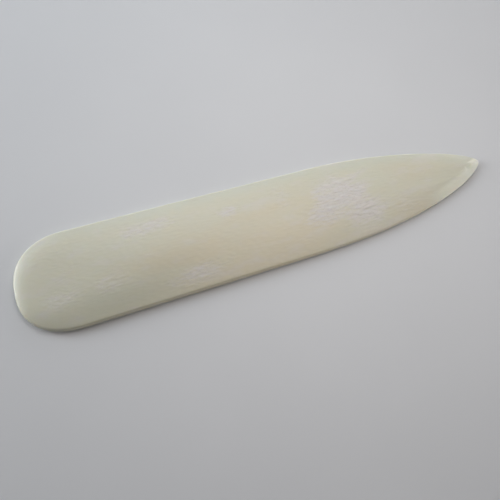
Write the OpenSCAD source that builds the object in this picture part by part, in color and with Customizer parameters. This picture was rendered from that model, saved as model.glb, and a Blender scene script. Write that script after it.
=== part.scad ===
// Bone folder: one blade carved from a single piece of bone.
// A broad rounded end, a long gentle taper and an ogive point. The upper face
// is crowned, the edge is rounded all the way round, and the underside is
// sanded flat and lifts a little towards the point.
//
// +X runs towards the point, +Y towards the more gently curved long edge, +Z up.
// The origin is at the middle of the resting face, under the middle of the box.

/* [Outline] */
// Length from the round end to the point
length = 127; // [100:1:180]
// Half width of the gentle (+Y) side, measured back to the round end
gentle_w_end = 14.2; // [10:0.1:17]
// Half width of the gentle side, carried straight on to the point
gentle_w_tip = 10.1; // [7:0.1:14]
// Half width of the full (-Y) side, measured back to the round end
full_w_end = 13.1; // [10:0.1:17]
// Half width of the full side, carried straight on to the point
full_w_tip = 11.7; // [7:0.1:14]

/* [Round end] */
// Length over which the round end closes
end_reach = 16; // [10:0.5:22]
// Squareness of the round end, where 2 is a plain ellipse
end_squareness = 2.3; // [2:0.1:4]
// Thickness at the round end
end_t = 2.5; // [2.4:0.1:3]
// Length over which the round end thickens to the full crown
end_run = 45; // [30:1:45]

/* [Point] */
// Distance from the round end at which the gentle side starts to curve in
gentle_start = 83.5; // [60:0.5:90]
// How late the gentle side curves, where 2 is even
gentle_power = 1.85; // [1.5:0.05:3]
// Distance from the round end at which the full side starts to curve in
full_start = 71.5; // [60:0.5:90]
// How late the full side curves, where 2 is even
full_power = 2.5; // [1.5:0.05:3]
// Roundness of the point, where 2 is a round nose and 1 is a sharp one
tip_roundness = 1.52; // [1.3:0.01:2]

/* [Thickness] */
// Thickness over the crown, before it thins
crown_t = 3.5; // [3:0.1:5]
// Thickness at the point
tip_t = 1; // [0.9:0.1:2]
// Distance from the round end at which the blade starts to thin
thin_start = 45; // [20:1:70]
// Height of the point's underside over the resting face
tip_lift = 0.7; // [0:0.1:2]
// Distance from the round end at which the underside starts to lift
lift_start = 85; // [75:1:100]

/* [Edge] */
// Height of the rounded edge, before it thins
edge_t = 2; // [1.6:0.1:2.6]
// Height of the rounded edge at the point
tip_edge_t = 0.4; // [0.3:0.1:0.7]
// Share of the edge's height that lies below its widest line
lower_share = 0.35; // [0.3:0.05:0.6]
// How far the rounding reaches in from the outline on top
edge_depth = 0.7; // [0.5:0.1:2]
// The same at the point
tip_edge_depth = 0.4; // [0.3:0.1:1]
// How far the rounding reaches in underneath
under_depth = 0.4; // [0.1:0.1:1]
// The same at the round end
end_under_depth = 1.5; // [0.3:0.1:2]
// How far the underside bellies down before it is sanded flat
underside_belly = 0.3; // [0.1:0.1:0.6]

/* [Crown] */
// How far in from the round end the crown rolls over
end_roll = 7; // [4:0.5:14]
// How much further in the roll reaches for each millimetre along the blade
roll_growth = 0.3; // [0.1:0.05:0.6]
// Shape of the roll at the round end, where 2 is a parabola and more is a tighter shoulder
end_power = 3.5; // [2:0.1:4]
// Length over which the round end's roll fades into the parabola of the long sides
end_fade = 35; // [15:1:60]
// Width of the bevel that thins both sides to the point
bevel_width = 2.8; // [1:0.1:4]
// Shape of the bevel, where 1 is flat and 2 is round
bevel_power = 1.25; // [1:0.05:2]
// Distance back from the point over which the full side's bevel fades out
full_bevel_run = 31; // [12:1:45]
// The same on the gentle side
gentle_bevel_run = 2; // [2:1:45]

/* [Hidden] */

// Stations from end to end, closer together where the outline turns
stations = 48;
around = 2 * stations;
// Steps over the rounded edge, the crown and the underside
edge_steps = 10;
crown_steps = 8;
under_steps = 3;
// Crown steps are closer together towards the edge, where 1 is evenly spaced
crown_spacing = 1.6;
// Shape of the crown along the sides, a parabola
crown_power = 2;
// The edge rounding starts level underneath, and is upright at the outline
edge_low = -90;
// The radial lines of the point meet this far back from it
tip_fan = 4.8;
// Depth of the block that sands the underside flat
sanding_depth = 5;

// Stations between which the radial lines stand square to the length
first_spine = ceil(stations * acos(1 - 2 * end_reach / length) / 180);
last_spine = floor(stations * acos(1 - 2 * (length - tip_fan) / length) / 180);
spine_count = last_spine - first_spine + 1;

// Moves the outline so that its box is centred on the origin
gentle_most = max([for (k = [0:stations]) gentle_side(station(k))]);
full_most = max([for (k = [0:stations]) full_side(station(k))]);
shift = [-length / 2, (full_most - gentle_most) / 2];

function mix(a, b, t) = a + (b - a) * t;
function clamp(v, low, high) = min(max(v, low), high);
function easing(t) = t * t * (3 - 2 * t);
function station(k) = length * (1 - cos(180 * k / stations)) / 2;

// Share of the width left by the round end and by the point, at distance s
function end_close(s) =
    let (t = clamp(1 - s / end_reach, 0, 1))
    pow(1 - pow(t, end_squareness), 1 / end_squareness);
function tip_close(s, start, power) =
    let (t = clamp((s - start) / (length - start), 0, 1))
    pow(1 - pow(t, power), 1 / tip_roundness);

// Half widths of the two sides at distance s from the round end
function gentle_side(s) =
    mix(gentle_w_end, gentle_w_tip, s / length) * end_close(s) * tip_close(s, gentle_start, gentle_power);
function full_side(s) =
    mix(full_w_end, full_w_tip, s / length) * end_close(s) * tip_close(s, full_start, full_power);

// 0 at the round end, 1 where the blade is at its full thickness
function thickening(s) = easing(clamp(s / end_run, 0, 1));
// 0 where the blade is at its full thickness, 1 at the point
function thinning(s) = pow(clamp((s - thin_start) / (length - thin_start), 0, 1), 2);

// Heights of the underside's rim and the crown, and of the edge below and above its widest line
function lift(s) = tip_lift * pow(clamp((s - lift_start) / (length - lift_start), 0, 1), 2);
function crown_z(s) = lift(s) + mix(mix(end_t, crown_t, thickening(s)), tip_t, thinning(s));
function lower(s) = lower_share * mix(edge_t, tip_edge_t, thinning(s));
function upper(s) = (1 - lower_share) * mix(edge_t, tip_edge_t, thinning(s));

// How far the edge's rounding reaches in, above and below
function depth(s) = mix(edge_depth, tip_edge_depth, thinning(s));
function depth_below(s) = mix(end_under_depth, under_depth, thickening(s));

// Round the outline, i counts out along the gentle side and back along the full side
function row(i) = i <= stations ? i : around - i;
function spine_row(i) = clamp(row(i), first_spine, last_spine);
function spine_at(s) = [s, (gentle_side(s) - full_side(s)) / 2];
function outline_at(i) =
    let (s = station(row(i)))
    [s, i <= stations ? gentle_side(s) : -full_side(s)];

// Share of the bevel on radial line i, which eases in from its start to the point
function bevel_share(i) =
    let (run = i < stations ? gentle_bevel_run : full_bevel_run)
    easing(clamp(1 - (length - station(row(i))) / run, 0, 1));

// Point on the radial line i, a given distance in from the outline
function inset(i, distance, z) =
    let (
        rim = outline_at(i),
        spine = spine_at(station(spine_row(i))),
        xy = mix(rim, spine, distance / norm(spine - rim)) + shift
    )
    [xy.x, xy.y, z];

// The crown's roll on radial line i: how far in it reaches, and its shape
function radial_length(i) = norm(spine_at(station(spine_row(i))) - outline_at(i));
function roll_reach(i) =
    let (run = radial_length(i))
    mix(min(run, end_roll + roll_growth * station(row(i))), bevel_width, bevel_share(i));
function roll_power(i) =
    let (s = station(row(i)))
    mix(mix(end_power, crown_power, clamp(s / end_fade, 0, 1)), bevel_power, bevel_share(i));

// Angle at which the edge rounding hands over to the crown, with the crown's own slope
function edge_high(i) =
    let (
        s = station(row(i)),
        rise = crown_z(station(spine_row(i))) - lift(s) - lower(s) - upper(s),
        slope = roll_power(i) * rise / roll_reach(i)
    )
    atan2(upper(s), slope * depth(s));

// Half of the steps round the edge lie below the outline, and half above it
function edge_point(i, t) =
    let (
        s = station(row(i)),
        angle = t < 0.5 ? edge_low * (1 - 2 * t) : edge_high(i) * (2 * t - 1),
        reach = t < 0.5 ? depth_below(s) : depth(s),
        height = t < 0.5 ? lower(s) : upper(s)
    )
    inset(i, reach * (1 - cos(angle)), lift(s) + lower(s) + height * sin(angle));

function crown_point(i, t) =
    let (
        s = station(row(i)),
        top = crown_z(station(spine_row(i))),
        start = depth(s) * (1 - cos(edge_high(i))),
        run = (radial_length(i) - start) * pow(t, crown_spacing),
        rise = top - lift(s) - lower(s) - upper(s) * sin(edge_high(i)),
        left = max(1 - run / (roll_reach(i) - start), 0)
    )
    inset(i, start + run, top - rise * pow(left, roll_power(i)));

function under_point(i, t) =
    let (
        s = station(row(i)),
        start = depth_below(s),
        middle = lift(station(spine_row(i))) - underside_belly
    )
    inset(i, mix(start, radial_length(i), t), mix(lift(s), middle, easing(t)));

// The rings from the underside, round the edge and up over the crown
rings = concat(
    [for (j = [under_steps - 1:-1:1]) [for (i = [0:around - 1]) under_point(i, j / under_steps)]],
    [for (j = [0:edge_steps]) [for (i = [0:around - 1]) edge_point(i, j / edge_steps)]],
    [for (j = [1:crown_steps - 1]) [for (i = [0:around - 1]) crown_point(i, j / crown_steps)]]
);
under_spine = [for (k = [first_spine:last_spine]) under_point(k, 1)];
crown_spine = [for (k = [first_spine:last_spine]) crown_point(k, 1)];

function ring_index(j, i) = j * around + i % around;
function spine_index(first, i) = first + spine_row(i % around) - first_spine;

// Two triangles between neighbouring radial lines on rings j and j + 1
function band(j, i) = [
    [ring_index(j, i), ring_index(j, i + 1), ring_index(j + 1, i + 1)],
    [ring_index(j, i), ring_index(j + 1, i + 1), ring_index(j + 1, i)]
];

// Closes ring j onto a spine whose points start at index first
function cap(j, first, i) =
    let (
        a = ring_index(j, i),
        b = ring_index(j, i + 1),
        c = spine_index(first, i),
        d = spine_index(first, i + 1)
    )
    c == d ? [[a, b, c]] : [[a, b, d], [a, d, c]];

function flipped(face) = [face[2], face[1], face[0]];

module carved_form() {
    ring_count = len(rings);
    ring_points = [for (ring = rings) each ring];
    crown_first = len(ring_points);
    under_first = crown_first + spine_count;
    steps = [0:around - 1];
    sides = [for (j = [0:ring_count - 2]) for (i = steps) each band(j, i)];
    top = [for (i = steps) each cap(ring_count - 1, crown_first, i)];
    bottom = [for (i = steps) for (face = cap(0, under_first, i)) flipped(face)];
    polyhedron(concat(ring_points, crown_spine, under_spine), concat(sides, top, bottom));
}

module blade() {
    color("ivory")
    difference() {
        carved_form();
        translate([-length, -length, -sanding_depth])
            cube([2 * length, 2 * length, sanding_depth]);
    }
}

blade();
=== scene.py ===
"""A bone folder: one blade of polished bone, on a plain pale floor in soft studio light.

The blade's form repeats the sizes of the CAD part at a finer step, and adds what the hand finish
leaves: gentle waves from scraping, fine grain, and short dashes where the bone's canals break the
surface, which are deep in the porous patches and faint elsewhere.
"""
import math

import bpy
import numpy as np
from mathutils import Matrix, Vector, noise


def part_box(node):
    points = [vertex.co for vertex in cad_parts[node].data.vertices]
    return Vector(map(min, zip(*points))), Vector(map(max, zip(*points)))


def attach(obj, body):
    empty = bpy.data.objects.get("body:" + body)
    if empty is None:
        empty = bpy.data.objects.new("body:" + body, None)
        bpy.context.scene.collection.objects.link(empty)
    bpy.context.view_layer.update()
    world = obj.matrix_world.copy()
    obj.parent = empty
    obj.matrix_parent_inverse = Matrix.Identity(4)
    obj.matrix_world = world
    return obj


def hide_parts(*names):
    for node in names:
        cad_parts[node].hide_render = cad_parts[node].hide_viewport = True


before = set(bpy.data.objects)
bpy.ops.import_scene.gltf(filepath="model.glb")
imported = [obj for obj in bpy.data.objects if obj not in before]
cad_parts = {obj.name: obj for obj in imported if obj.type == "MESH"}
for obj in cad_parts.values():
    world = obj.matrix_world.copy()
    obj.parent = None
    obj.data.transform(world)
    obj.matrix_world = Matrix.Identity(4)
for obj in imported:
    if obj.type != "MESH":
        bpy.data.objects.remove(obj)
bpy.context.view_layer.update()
MM = 0.001

# ---------------------------------------------------------------------------------------------
# Blade form, in millimetres: s runs from the round end to the point, y across, z up
# ---------------------------------------------------------------------------------------------

BLADE_LOW, BLADE_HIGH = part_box("blade")
LENGTH = (BLADE_HIGH.x - BLADE_LOW.x) / MM
CROWN_T = (BLADE_HIGH.z - BLADE_LOW.z) / MM

# Half widths of the gentle (+Y) and the full (-Y) side, carried straight on to both ends
GENTLE_W_END, GENTLE_W_TIP = 14.2, 10.1
FULL_W_END, FULL_W_TIP = 13.1, 11.7
# The round end, and where and how late each side curves in to the point
END_REACH, END_SQUARENESS = 16.0, 2.3
GENTLE_START, GENTLE_POWER = 83.5, 1.85
FULL_START, FULL_POWER = 71.5, 2.5
TIP_ROUNDNESS = 1.52
# Thickness at the round end and how far from it the blade is at its full thickness, thickness at
# the point and where the blade starts to thin, and the point's lift off the floor and its start
END_T, END_RUN = 2.5, 45.0
TIP_T, THIN_START = 1.0, 45.0
TIP_LIFT, LIFT_START = 0.7, 85.0
# Height of the edge and the share of it below its widest line, and how far its rounding reaches
# in on top and underneath
EDGE_T, TIP_EDGE_T, LOWER_SHARE = 2.0, 0.4, 0.35
EDGE_DEPTH, TIP_EDGE_DEPTH = 0.7, 0.4
END_UNDER_DEPTH, UNDER_DEPTH = 1.5, 0.4
UNDERSIDE_BELLY = 0.3
# The crown's roll at the round end and along the sides, and the bevel that thins it to the point
END_ROLL, ROLL_GROWTH, END_POWER, END_FADE = 7.0, 0.3, 3.5, 35.0
CROWN_POWER = 2.0
BEVEL_WIDTH, BEVEL_POWER = 2.8, 1.25
FULL_BEVEL_RUN, GENTLE_BEVEL_RUN = 31.0, 2.0
# The radial lines of the point meet this far back from it
TIP_FAN = 4.8
# The painted highlight on the point's bevel, a paler tone for the light its facet catches: the share of the
# bevel at which it starts and over which it rises, and its blur
PALE_FROM, PALE_RISE, PALE_BLUR = 0.3, 0.5, 1.6

# Mesh steps: along each side, over each half of the edge, over the crown and over the underside
STATIONS, EDGE_STEPS, CROWN_STEPS, UNDER_STEPS = 330, 8, 66, 22
# Steps with which the outline is measured
OUTLINE_STEPS = 20000


def mix(a, b, t):
    return a + (b - a) * t


def smooth(t):
    t = np.clip(t, 0.0, 1.0)
    return t * t * (3.0 - 2.0 * t)


def closing(s, start, power):
    """Share of the width left at s, where a side curves in from start to the point."""
    t = np.clip((s - start) / (LENGTH - start), 0.0, 1.0)
    return (1.0 - t**power) ** (1.0 / TIP_ROUNDNESS)


def end_close(s):
    """Share of the width left at s by the round end."""
    t = np.clip(1.0 - s / END_REACH, 0.0, 1.0)
    return (1.0 - t**END_SQUARENESS) ** (1.0 / END_SQUARENESS)


def gentle_side(s):
    width = mix(GENTLE_W_END, GENTLE_W_TIP, s / LENGTH)
    return width * end_close(s) * closing(s, GENTLE_START, GENTLE_POWER)


def full_side(s):
    width = mix(FULL_W_END, FULL_W_TIP, s / LENGTH)
    return width * end_close(s) * closing(s, FULL_START, FULL_POWER)


def thickening(s):
    """0 at the round end, 1 where the blade is at its full thickness."""
    return smooth(s / END_RUN)


def thinning(s):
    """0 where the blade is at its full thickness, 1 at the point."""
    return np.clip((s - THIN_START) / (LENGTH - THIN_START), 0.0, 1.0) ** 2


def lift(s):
    """Height of the underside's rim over the floor."""
    return TIP_LIFT * np.clip((s - LIFT_START) / (LENGTH - LIFT_START), 0.0, 1.0) ** 2


def even_stations():
    """Distances s from end to end that are evenly spaced along the curved outline."""
    s = LENGTH * (1.0 - np.cos(np.linspace(0.0, math.pi, OUTLINE_STEPS + 1))) / 2.0
    half_width = (gentle_side(s) + full_side(s)) / 2.0
    travelled = np.concatenate([[0.0], np.cumsum(np.hypot(np.diff(s), np.diff(half_width)))])
    return np.interp(np.linspace(0.0, travelled[-1], STATIONS + 1), travelled, s)


def blade_rings():
    """Rings of points from the underside round the edge to the crown, and the spine rows.

    Returns the rings (ring, point, xyz), the spine row of each point, how far in from the outline
    each ring point lies in millimetres, and how strongly the painted highlight pales the point's bevel.
    """
    s_row = even_stations()
    row = np.concatenate([np.arange(STATIONS + 1), np.arange(STATIONS - 1, 0, -1)])
    gentle = np.arange(len(row)) <= STATIONS
    first = int(np.searchsorted(s_row, END_REACH))
    last = int(np.searchsorted(s_row, LENGTH - TIP_FAN))
    spine_row = np.clip(row, first, last)

    s = s_row[row]
    spine_s = s_row[spine_row]
    rim = np.stack([s, np.where(gentle, gentle_side(s), -full_side(s))], axis=1)
    spine = np.stack([spine_s, (gentle_side(spine_s) - full_side(spine_s)) / 2.0], axis=1)
    radial = np.linalg.norm(spine - rim, axis=1)

    edge_t = mix(EDGE_T, TIP_EDGE_T, thinning(s))
    lower, upper = LOWER_SHARE * edge_t, (1.0 - LOWER_SHARE) * edge_t
    depth = mix(EDGE_DEPTH, TIP_EDGE_DEPTH, thinning(s))
    under_depth = mix(END_UNDER_DEPTH, UNDER_DEPTH, thickening(s))
    crown_t = mix(mix(END_T, CROWN_T, thickening(spine_s)), TIP_T, thinning(spine_s))
    crown_z = lift(spine_s) + crown_t
    under_z = lift(spine_s) - UNDERSIDE_BELLY

    # The crown's roll: how far in it reaches, its shape, and where the edge hands over to it
    bevel_share = smooth(1.0 - (LENGTH - s) / np.where(gentle, GENTLE_BEVEL_RUN, FULL_BEVEL_RUN))
    reach = mix(np.minimum(radial, END_ROLL + ROLL_GROWTH * s), BEVEL_WIDTH, bevel_share)
    side_power = mix(END_POWER, CROWN_POWER, np.clip(s / END_FADE, 0.0, 1.0))
    power = mix(side_power, BEVEL_POWER, bevel_share)
    slope = power * (crown_z - lift(s) - edge_t) / reach
    edge_high = np.arctan2(upper, slope * depth)
    start = depth * (1.0 - np.cos(edge_high))
    rise = crown_z - lift(s) - lower - upper * np.sin(edge_high)

    insets, heights = [], []
    for t in np.arange(UNDER_STEPS, 0, -1) / UNDER_STEPS:
        insets.append(mix(under_depth, radial, t))
        heights.append(np.maximum(mix(lift(s), under_z, smooth(t)), 0.0))
    for t in np.arange(EDGE_STEPS) / EDGE_STEPS:
        angle = (1.0 - t) * math.pi / 2.0
        insets.append(under_depth * (1.0 - math.cos(angle)))
        heights.append(lift(s) + lower * (1.0 - math.sin(angle)))
    for t in np.arange(EDGE_STEPS + 1) / EDGE_STEPS:
        angle = t * edge_high
        insets.append(depth * (1.0 - np.cos(angle)))
        heights.append(lift(s) + lower + upper * np.sin(angle))
    for t in np.arange(1, CROWN_STEPS + 1) / CROWN_STEPS:
        run = (radial - start) * t
        left = np.maximum(1.0 - run / (reach - start), 0.0)
        insets.append(start + run)
        heights.append(crown_z - rise * left**power)

    inset = np.array(insets)
    share = (inset / radial)[:, :, None]
    xy = mix(rim[None], spine[None], share)
    rings = np.concatenate([xy, np.array(heights)[:, :, None]], axis=2)
    # The painted highlight: the point's bevel is painted paler, standing in for the light its facet catches
    on_bevel = smooth(0.5 + (BEVEL_WIDTH - inset) / PALE_BLUR)
    bevel = smooth((bevel_share - PALE_FROM) / PALE_RISE) * on_bevel
    return rings, spine_row - first, inset, bevel


def blade_mesh():
    """The blade's mesh at rest, and for each vertex its distance in and its share of the painted highlight
    on the bevel.
    """
    rings, spine_row, inset, bevel = blade_rings()
    around = rings.shape[1]
    body_rings = rings[1:-1]
    spine_count = spine_row.max() + 1
    under_first = body_rings.shape[0] * around
    crown_first = under_first + spine_count

    # One spine point for each spine row, taken from the gentle side
    pick = np.array([np.argmax(spine_row == k) for k in range(spine_count)])
    points = np.concatenate([body_rings.reshape(-1, 3), rings[0][pick], rings[-1][pick]])
    depth_in = np.concatenate([inset[1:-1].reshape(-1), inset[0][pick], inset[-1][pick]])
    bevel = np.concatenate([bevel[1:-1].reshape(-1), bevel[0][pick], bevel[-1][pick]])

    faces = []
    for ring in range(body_rings.shape[0] - 1):
        for i in range(around):
            j = (i + 1) % around
            a, b = ring * around, (ring + 1) * around
            faces.append((a + i, b + i, b + j, a + j))
    top_ring = (body_rings.shape[0] - 1) * around
    for i in range(around):
        j = (i + 1) % around
        faces.append(capped(top_ring + i, top_ring + j, crown_first, spine_row[i], spine_row[j]))
        faces.append(capped(j, i, under_first, spine_row[j], spine_row[i]))

    # Centred on the CAD box, in metres
    points[:, :2] -= (points[:, :2].max(axis=0) + points[:, :2].min(axis=0)) / 2.0
    centre = (BLADE_LOW + BLADE_HIGH) / 2.0
    points = points * MM + np.array([centre.x, centre.y, BLADE_LOW.z])

    mesh = bpy.data.meshes.new("blade_bone")
    mesh.from_pydata(points.tolist(), [], faces)
    mesh.shade_smooth()
    mesh.validate()
    return mesh, depth_in, bevel


def capped(a, b, first, row_a, row_b):
    """A face from the edge a, b up to the spine: a triangle where both meet one spine point."""
    c, d = first + int(row_a), first + int(row_b)
    return (a, c, b) if c == d else (a, c, d, b)


# ---------------------------------------------------------------------------------------------
# Surface: the relief, where the bone is porous or warm, and where shade is painted on, in millimetres
# ---------------------------------------------------------------------------------------------

# Soft-edged patches: centre x, y, half length, half width, strength
POROUS_PATCHES = [
    (24.5, 0.5, 7.5, 5.0, 1.0),
    (29.0, -4.5, 5.5, 4.5, 0.8),
    (18.5, -3.0, 4.5, 3.0, 0.75),
    (-27.0, 7.0, 6.5, 2.2, 0.6),
    (-5.5, 4.8, 2.8, 1.8, 0.6),
    (-51.5, -5.2, 5.0, 2.2, 0.45),
    (-39.0, -4.6, 5.5, 3.0, 0.4),
    (-17.5, -8.8, 7.0, 2.2, 0.6),
    (9.0, 5.0, 2.5, 4.0, 0.3),
    (40.0, -6.5, 6.5, 2.8, 0.3),
]
WARM_PATCHES = [
    (-3.0, -5.5, 25.5, 10.0, 1.0),
    (45.0, 3.5, 8.0, 3.0, 0.65),
    (42.0, -8.5, 8.5, 3.5, 0.7),
]
# Painted shade: darkens the full side near the round end, which turns away from the light
PAINTED_SHADE_PATCHES = [
    (-42.0, -9.5, 19.0, 6.0, 1.0),
]
POROUS_SOFTNESS = 0.8
WARM_SOFTNESS = 1.0
PAINTED_SHADE_SOFTNESS = 1.2

# Ripples: how long they are along the blade and across it, and a seed
WAVES = (20.0, 6.5, 1.0)
DASHES = (1.3, 0.46, 31.0)
DASH_BENDS = (2.6, 1.6, 21.0)
GRAIN = (3.5, 0.5, 41.0)
POROUS_OUTLINES = (5.0, 2.2, 3.0)
WARM_OUTLINES = (14.0, 4.5, 5.0)
PAINTED_SHADE_OUTLINES = (14.0, 4.5, 9.0)
UNDERSIDE_CLOUDS = (16.0, 5.0, 11.0)

# How high the relief stands, and how strong the dashes are outside the porous patches
WAVE_HEIGHT = 0.035
DASH_HEIGHT = 0.105
FAINT_DASHES = 0.21
GRAIN_HEIGHT = 0.002
# How far the dashes bend, and the shift that sinks waves and dashes into the CAD's form
DASH_BEND = 0.6
WAVE_SINK, DASH_SINK = 0.5, 0.6
# Where the clouds of the underside start, how softly, and how porous they are
CLOUD_FROM, CLOUD_RISE, CLOUD_STRENGTH = 0.05, 0.35, 0.8


def ripple(p, lengthwise, crosswise, seed):
    """Smooth noise at point p in millimetres, longer along the blade than across it."""
    return noise.noise(Vector((p.x / lengthwise, p.y / crosswise, p.z / crosswise + seed)))


def patch_strength(p, patches, softness, ragged):
    """How strongly the crown's patches cover p, from 0 to 1."""
    most = 0.0
    for x, y, half_length, half_width, strength in patches:
        reach = math.hypot((p.x - x) / half_length, (p.y - y) / half_width) + ragged
        most = max(most, strength * float(smooth(0.5 + (1.0 - reach) / softness / 2.0)))
    return most


def porosity(p):
    """How porous the bone is at p, from 0 to 1: patches on the crown, and clouds underneath."""
    if p.z > EDGE_T / 2.0:
        ragged = 0.45 * ripple(p, *POROUS_OUTLINES)
        return patch_strength(p, POROUS_PATCHES, POROUS_SOFTNESS, ragged)
    clouds = float(smooth((ripple(p, *UNDERSIDE_CLOUDS) - CLOUD_FROM) / CLOUD_RISE))
    return CLOUD_STRENGTH * clouds * float(smooth(1.0 - p.z / (EDGE_T / 2.0)))


def warmth(p):
    """How tan the bone is at p, from 0 to 1. The tone runs through the whole thickness."""
    return patch_strength(p, WARM_PATCHES, WARM_SOFTNESS, 0.5 * ripple(p, *WARM_OUTLINES))


def painted_shade(p):
    """How much painted shade darkens the bone at p, from 0 to 1: the full side near the round end."""
    return patch_strength(p, PAINTED_SHADE_PATCHES, PAINTED_SHADE_SOFTNESS, 0.3 * ripple(p, *PAINTED_SHADE_OUTLINES))


def dash(p):
    """Short wavy dashes that run along the bone, from -1 to 1."""
    bend = DASH_BEND * ripple(p, *DASH_BENDS)
    return ripple(Vector((p.x, p.y + bend, p.z)), *DASHES)


def finish_surface(mesh, depth_in, bevel):
    """Moves the vertices by the relief, and stores what the material reads."""
    count = len(mesh.vertices)
    porous = np.zeros(count)
    warm = np.zeros(count)
    painted_shade_share = np.zeros(count)
    relief = np.zeros(count)
    for k, vertex in enumerate(mesh.vertices):
        p = vertex.co / MM
        porous[k] = porosity(p)
        warm[k] = warmth(p)
        painted_shade_share[k] = painted_shade(p)
        relief[k] = (
            WAVE_HEIGHT * (ripple(p, *WAVES) - WAVE_SINK)
            + DASH_HEIGHT * mix(FAINT_DASHES, 1.0, porous[k]) * (dash(p) - DASH_SINK)
            + GRAIN_HEIGHT * ripple(p, *GRAIN)
        )
    normals = np.empty(count * 3)
    mesh.vertex_normals.foreach_get("vector", normals)
    points = np.empty(count * 3)
    mesh.vertices.foreach_get("co", points)
    points = points.reshape(-1, 3) + normals.reshape(-1, 3) * relief[:, None] * MM
    points[:, 2] = np.maximum(points[:, 2], BLADE_LOW.z)
    mesh.vertices.foreach_set("co", points.ravel())
    mesh.update()
    shares = {
        "porosity": porous,
        "warmth": warm,
        "painted_shade": painted_shade_share,
        "depth_in": depth_in,
        "bevel": bevel,
    }
    for name, values in shares.items():
        layer = mesh.attributes.new(name, "FLOAT", "POINT")
        layer.data.foreach_set("value", values.astype(np.float32))


# ---------------------------------------------------------------------------------------------
# Materials
# ---------------------------------------------------------------------------------------------


class Nodes:
    """Builds a material's nodes: each call makes one, sets its values and links its inputs."""

    def __init__(self, name):
        self.material = bpy.data.materials.new(name)
        self.material.use_nodes = True
        self.tree = self.material.node_tree
        self.tree.nodes.clear()

    def add(self, kind, settings=None, **inputs):
        node = self.tree.nodes.new(kind)
        for key, value in (settings or {}).items():
            setattr(node, key, value)
        for key, value in inputs.items():
            index = int(key[1:]) if key[0] == "i" and key[1:].isdigit() else key.replace("_", " ")
            socket = node.inputs[index]
            if isinstance(value, bpy.types.NodeSocket):
                self.tree.links.new(value, socket)
            else:
                socket.default_value = value
        return node

    def maths(self, operation, a, b=0.0, clamp=False):
        node = self.add("ShaderNodeMath", {"operation": operation, "use_clamp": clamp}, i0=a, i1=b)
        return node.outputs[0]

    def ramp(self, value, low, high, to_low=0.0, to_high=1.0):
        node = self.add(
            "ShaderNodeMapRange",
            {"interpolation_type": "SMOOTHSTEP"},
            Value=value,
            From_Min=low,
            From_Max=high,
            To_Min=to_low,
            To_Max=to_high,
        )
        return node.outputs["Result"]

    def blend(self, share, a, b, mode="MIX"):
        node = self.add("ShaderNodeMix", {"data_type": "RGBA", "blend_type": mode}, i0=share, i6=a, i7=b)
        return node.outputs[2]

    def stretched_noise(self, where, lengthwise, crosswise, detail=3.0, seed=0.0):
        """Noise whose grains are lengthwise by crosswise millimetres."""
        scale = (1.0 / lengthwise, 1.0 / crosswise, 1.0 / crosswise)
        shift = (seed, seed, seed)
        mapping = self.add("ShaderNodeMapping", None, Vector=where, Scale=scale, Location=shift)
        node = self.add("ShaderNodeTexNoise", None, Vector=mapping.outputs[0], Scale=1.0, Detail=detail)
        return node.outputs["Fac"]

    def attribute(self, name):
        return self.add("ShaderNodeAttribute", {"attribute_name": name}).outputs["Fac"]

    def millimetres(self):
        """The point on the object, in millimetres."""
        where = self.add("ShaderNodeTexCoord").outputs["Object"]
        return self.add("ShaderNodeVectorMath", {"operation": "SCALE"}, i0=where, Scale=1.0 / MM).outputs[0]

    def surface(self, **inputs):
        shader = self.add("ShaderNodeBsdfPrincipled", None, **inputs)
        output = self.add("ShaderNodeOutputMaterial")
        self.tree.links.new(shader.outputs[0], output.inputs["Surface"])
        return self.material


# Tones of the bone, and the painted shade tone that darkens the full side near the round end
TAN = (0.689, 0.630, 0.485, 1.0)
OLIVE = (0.666, 0.653, 0.534, 1.0)
EDGE_GREEN = (0.634, 0.643, 0.543, 1.0)
# The painted highlight on the point's bevel
POINT_PAINTED_HIGHLIGHT = (0.830, 0.830, 0.715, 1.0)
CHALK = (0.703, 0.669, 0.635, 1.0)
CANAL = (0.417, 0.369, 0.281, 1.0)
PAINTED_SHADE_TONE = (0.850, 0.860, 0.850, 1.0)
BONE_IOR = 1.54
# How far light reaches into the bone, and the height of the bump, in millimetres
LIGHT_REACH = 1.5
BUMP_HEIGHT = 0.03

# The floor's two tones, and the size of its mottling in millimetres
FLOOR_DARK = (0.685, 0.693, 0.709, 1.0)
FLOOR_LIGHT = (0.699, 0.707, 0.723, 1.0)
FLOOR_MOTTLE = 40.0
# The backdrop's brightness, and the distances in millimetres over which the floor fades into it
BACKDROP = (0.46, 0.47, 0.49, 1.0)
BACKDROP_FADE = (105.0, 215.0)
BLACK = (0.0, 0.0, 0.0, 1.0)


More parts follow.
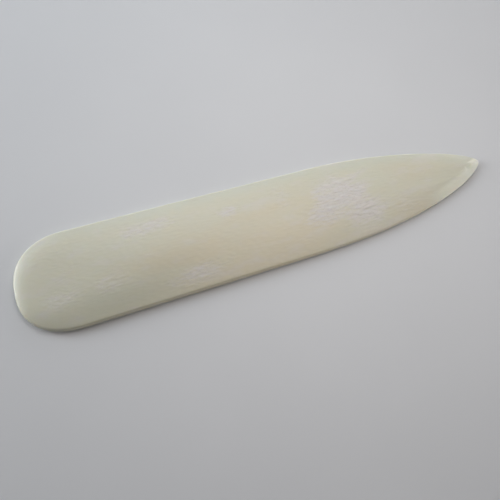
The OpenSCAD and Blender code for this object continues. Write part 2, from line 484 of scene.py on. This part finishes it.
def bone():
    """Bone's tones, its open canals and its satin gloss."""
    n = Nodes("bone")
    where = n.millimetres()
    across = n.add("ShaderNodeSeparateXYZ", None, Vector=where).outputs["Y"]
    depth_in = n.attribute("depth_in")
    porous = n.attribute("porosity")

    clouds = n.stretched_noise(where, 18.0, 6.0, detail=2.0, seed=3.0)
    mottle = n.stretched_noise(where, 7.0, 3.0, detail=3.0, seed=23.0)
    fibres = n.stretched_noise(where, 5.0, 0.45, detail=4.0, seed=7.0)
    flecks = n.stretched_noise(where, 1.5, 0.45, detail=3.0, seed=13.0)
    speckle = n.stretched_noise(where, 0.7, 0.18, detail=2.0, seed=17.0)

    # Tan in the middle and along the full side, olive further out, and a yellow-green tint where
    # the gentle side and the two ends thin
    tan = n.maths("ADD", n.attribute("warmth"), n.ramp(clouds, 0.35, 0.65, -0.12, 0.12), clamp=True)
    colour = n.blend(tan, OLIVE, TAN)
    thin = n.maths("MULTIPLY", n.ramp(depth_in, 0.3, 5.0, 0.9, 0.0), n.ramp(across, -9.0, 2.0))
    colour = n.blend(thin, colour, EDGE_GREEN)
    # Painted highlight: the point's bevel is painted paler, as if lit
    colour = n.blend(n.attribute("bevel"), colour, POINT_PAINTED_HIGHLIGHT)

    # Chalky where the bone is porous and in faint clouds, with open canals in the porous patches
    cover = n.maths("ADD", porous, n.ramp(flecks, 0.3, 0.7, -0.18, 0.18))
    chalky = n.maths("MULTIPLY", n.ramp(cover, 0.05, 0.95), n.ramp(porous, 0.0, 0.4))
    chalky = n.maths("MAXIMUM", chalky, n.ramp(mottle, 0.50, 0.72, 0.0, 0.35))
    colour = n.blend(chalky, colour, CHALK)
    open_canals = n.maths("ADD", n.maths("MULTIPLY", porous, 0.40), 0.05)
    canals = n.maths("MULTIPLY", n.ramp(speckle, 0.42, 0.30), open_canals)
    colour = n.blend(canals, colour, CANAL)
    colour = n.blend(n.ramp(fibres, 0.35, 0.30, 0.0, 0.10), colour, CANAL)
    # Painted shade over the full side near the round end
    colour = n.blend(n.attribute("painted_shade"), colour, PAINTED_SHADE_TONE, mode="MULTIPLY")

    # Duller where it is porous, with a fine bump over the relief
    roughness = n.ramp(n.maths("ADD", fibres, n.maths("MULTIPLY", porous, 0.5)), 0.3, 1.1, 0.38, 0.55)
    rough_height = n.maths("MULTIPLY", n.maths("ADD", flecks, speckle), n.maths("ADD", porous, 0.15))
    height = n.maths("ADD", n.maths("MULTIPLY", fibres, 0.15), rough_height)
    bump = n.add("ShaderNodeBump", None, Height=height, Strength=1.0, Distance=BUMP_HEIGHT * MM)
    return n.surface(
        Base_Color=colour,
        Roughness=roughness,
        IOR=BONE_IOR,
        Subsurface_Weight=0.3,
        Subsurface_Radius=(1.0, 0.75, 0.45),
        Subsurface_Scale=LIGHT_REACH * MM,
        Normal=bump.outputs[0],
    )


def floor_material():
    """A mottled pale top, which fades into an evenly bright backdrop further from the blade."""
    n = Nodes("floor")
    where = n.millimetres()
    mottle = n.stretched_noise(where, FLOOR_MOTTLE, FLOOR_MOTTLE, detail=2.0)
    colour = n.blend(n.ramp(mottle, 0.3, 0.7), FLOOR_DARK, FLOOR_LIGHT)
    distance = n.add("ShaderNodeVectorMath", {"operation": "LENGTH"}, i0=where).outputs["Value"]
    away = n.ramp(distance, *BACKDROP_FADE)
    return n.surface(
        Base_Color=n.blend(away, colour, BLACK),
        Roughness=0.6,
        Specular_IOR_Level=n.ramp(distance, *BACKDROP_FADE, 0.5, 0.0),
        Emission_Color=BACKDROP,
        Emission_Strength=away,
    )


# ---------------------------------------------------------------------------------------------
# Blade
# ---------------------------------------------------------------------------------------------


def make_blade():
    mesh, depth_in, bevel = blade_mesh()
    finish_surface(mesh, depth_in, bevel)
    piece = bpy.data.objects.new("blade_bone", mesh)
    bpy.context.collection.objects.link(piece)
    mesh.materials.append(bone())
    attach(piece, "root")
    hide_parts("blade")


# ---------------------------------------------------------------------------------------------
# Floor, light and camera
# ---------------------------------------------------------------------------------------------

# The floor's side, and how far it lies under the blade, in metres
FLOOR_SIZE = 6.0
FLOOR_GAP = 0.00002

# Soft boxes: name, azimuth and elevation seen from the blade, distance, side, watts, colour
SOFT_BOXES = [
    ("left_window", 296.0, 12.0, 0.50, 0.30, 2.10, (0.99, 1.00, 1.01)),
    ("right_window", 135.0, 12.0, 0.50, 0.30, 0.62, (1.02, 1.00, 0.98)),
    ("right_near", 90.0, 15.0, 0.28, 0.12, 0.160, (1.02, 0.99, 0.97)),
    ("back_low", 30.0, 12.0, 0.50, 0.30, 0.60, (0.99, 0.99, 1.02)),
    ("back_high", 330.0, 35.0, 0.50, 0.30, 0.34, (0.92, 1.01, 1.12)),
    ("near_back", 0.0, 50.0, 0.20, 0.10, 0.059, (0.95, 1.01, 1.05)),
    ("near_top", 60.0, 70.0, 0.14, 0.07, 0.045, (1.06, 1.00, 0.95)),
    ("near_front", 180.0, 70.0, 0.14, 0.07, 0.011, (1.10, 0.99, 0.95)),
]

# The camera looks down on the full side: angles in degrees, lens in millimetres, the rest in metres
CAMERA_AZIMUTH, CAMERA_ELEVATION = -17.28, 72.0
CAMERA_DISTANCE, CAMERA_LENS = 0.18071, 50.0
CAMERA_AIM = (-0.00284, -0.00587, 0.0)
CAMERA_CLIP = (0.005, 20.0)


def direction(azimuth, elevation):
    """Unit vector towards a place seen from the origin: azimuth 0 is +Y, and 90 is +X."""
    a, e = math.radians(azimuth), math.radians(elevation)
    return Vector((math.sin(a) * math.cos(e), math.cos(a) * math.cos(e), math.sin(e)))


def point_at(obj, target):
    obj.rotation_euler = (target - obj.location).to_track_quat("-Z", "Y").to_euler()


def make_floor():
    half = FLOOR_SIZE / 2.0
    mesh = bpy.data.meshes.new("floor")
    corners = [(-half, -half, 0.0), (half, -half, 0.0), (half, half, 0.0), (-half, half, 0.0)]
    mesh.from_pydata(corners, [], [(0, 1, 2, 3)])
    floor = bpy.data.objects.new("floor", mesh)
    bpy.context.collection.objects.link(floor)
    mesh.materials.append(floor_material())
    floor.location.z = BLADE_LOW.z - FLOOR_GAP


def make_soft_box(name, azimuth, elevation, distance, side, watts, colour):
    data = bpy.data.lights.new(name, "AREA")
    data.shape = "SQUARE"
    data.size = side
    data.energy = watts
    data.color = colour
    light = bpy.data.objects.new(name, data)
    bpy.context.collection.objects.link(light)
    light.location = direction(azimuth, elevation) * distance
    light.visible_camera = False
    point_at(light, Vector((0.0, 0.0, 0.0)))


def make_world():
    """The backdrop behind the floor. Only the camera sees it, so it doesn't light the blade."""
    world = bpy.data.worlds.new("studio")
    world.use_nodes = True
    tree = world.node_tree
    background = tree.nodes["Background"]
    background.inputs["Color"].default_value = BACKDROP
    seen = tree.nodes.new("ShaderNodeLightPath").outputs["Is Camera Ray"]
    tree.links.new(seen, background.inputs["Strength"])
    bpy.context.scene.world = world


def make_camera():
    data = bpy.data.cameras.new("camera")
    data.lens = CAMERA_LENS
    camera = bpy.data.objects.new("camera", data)
    bpy.context.collection.objects.link(camera)
    aim = Vector(CAMERA_AIM)
    back = direction(180.0 - CAMERA_AZIMUTH, CAMERA_ELEVATION)
    camera.location = aim + back * CAMERA_DISTANCE
    data.clip_start, data.clip_end = CAMERA_CLIP
    point_at(camera, aim)
    bpy.context.scene.camera = camera


make_camera()
make_blade()
make_floor()
for box in SOFT_BOXES:
    make_soft_box(*box)
make_world()
bpy.context.scene.view_settings.view_transform = "Standard"
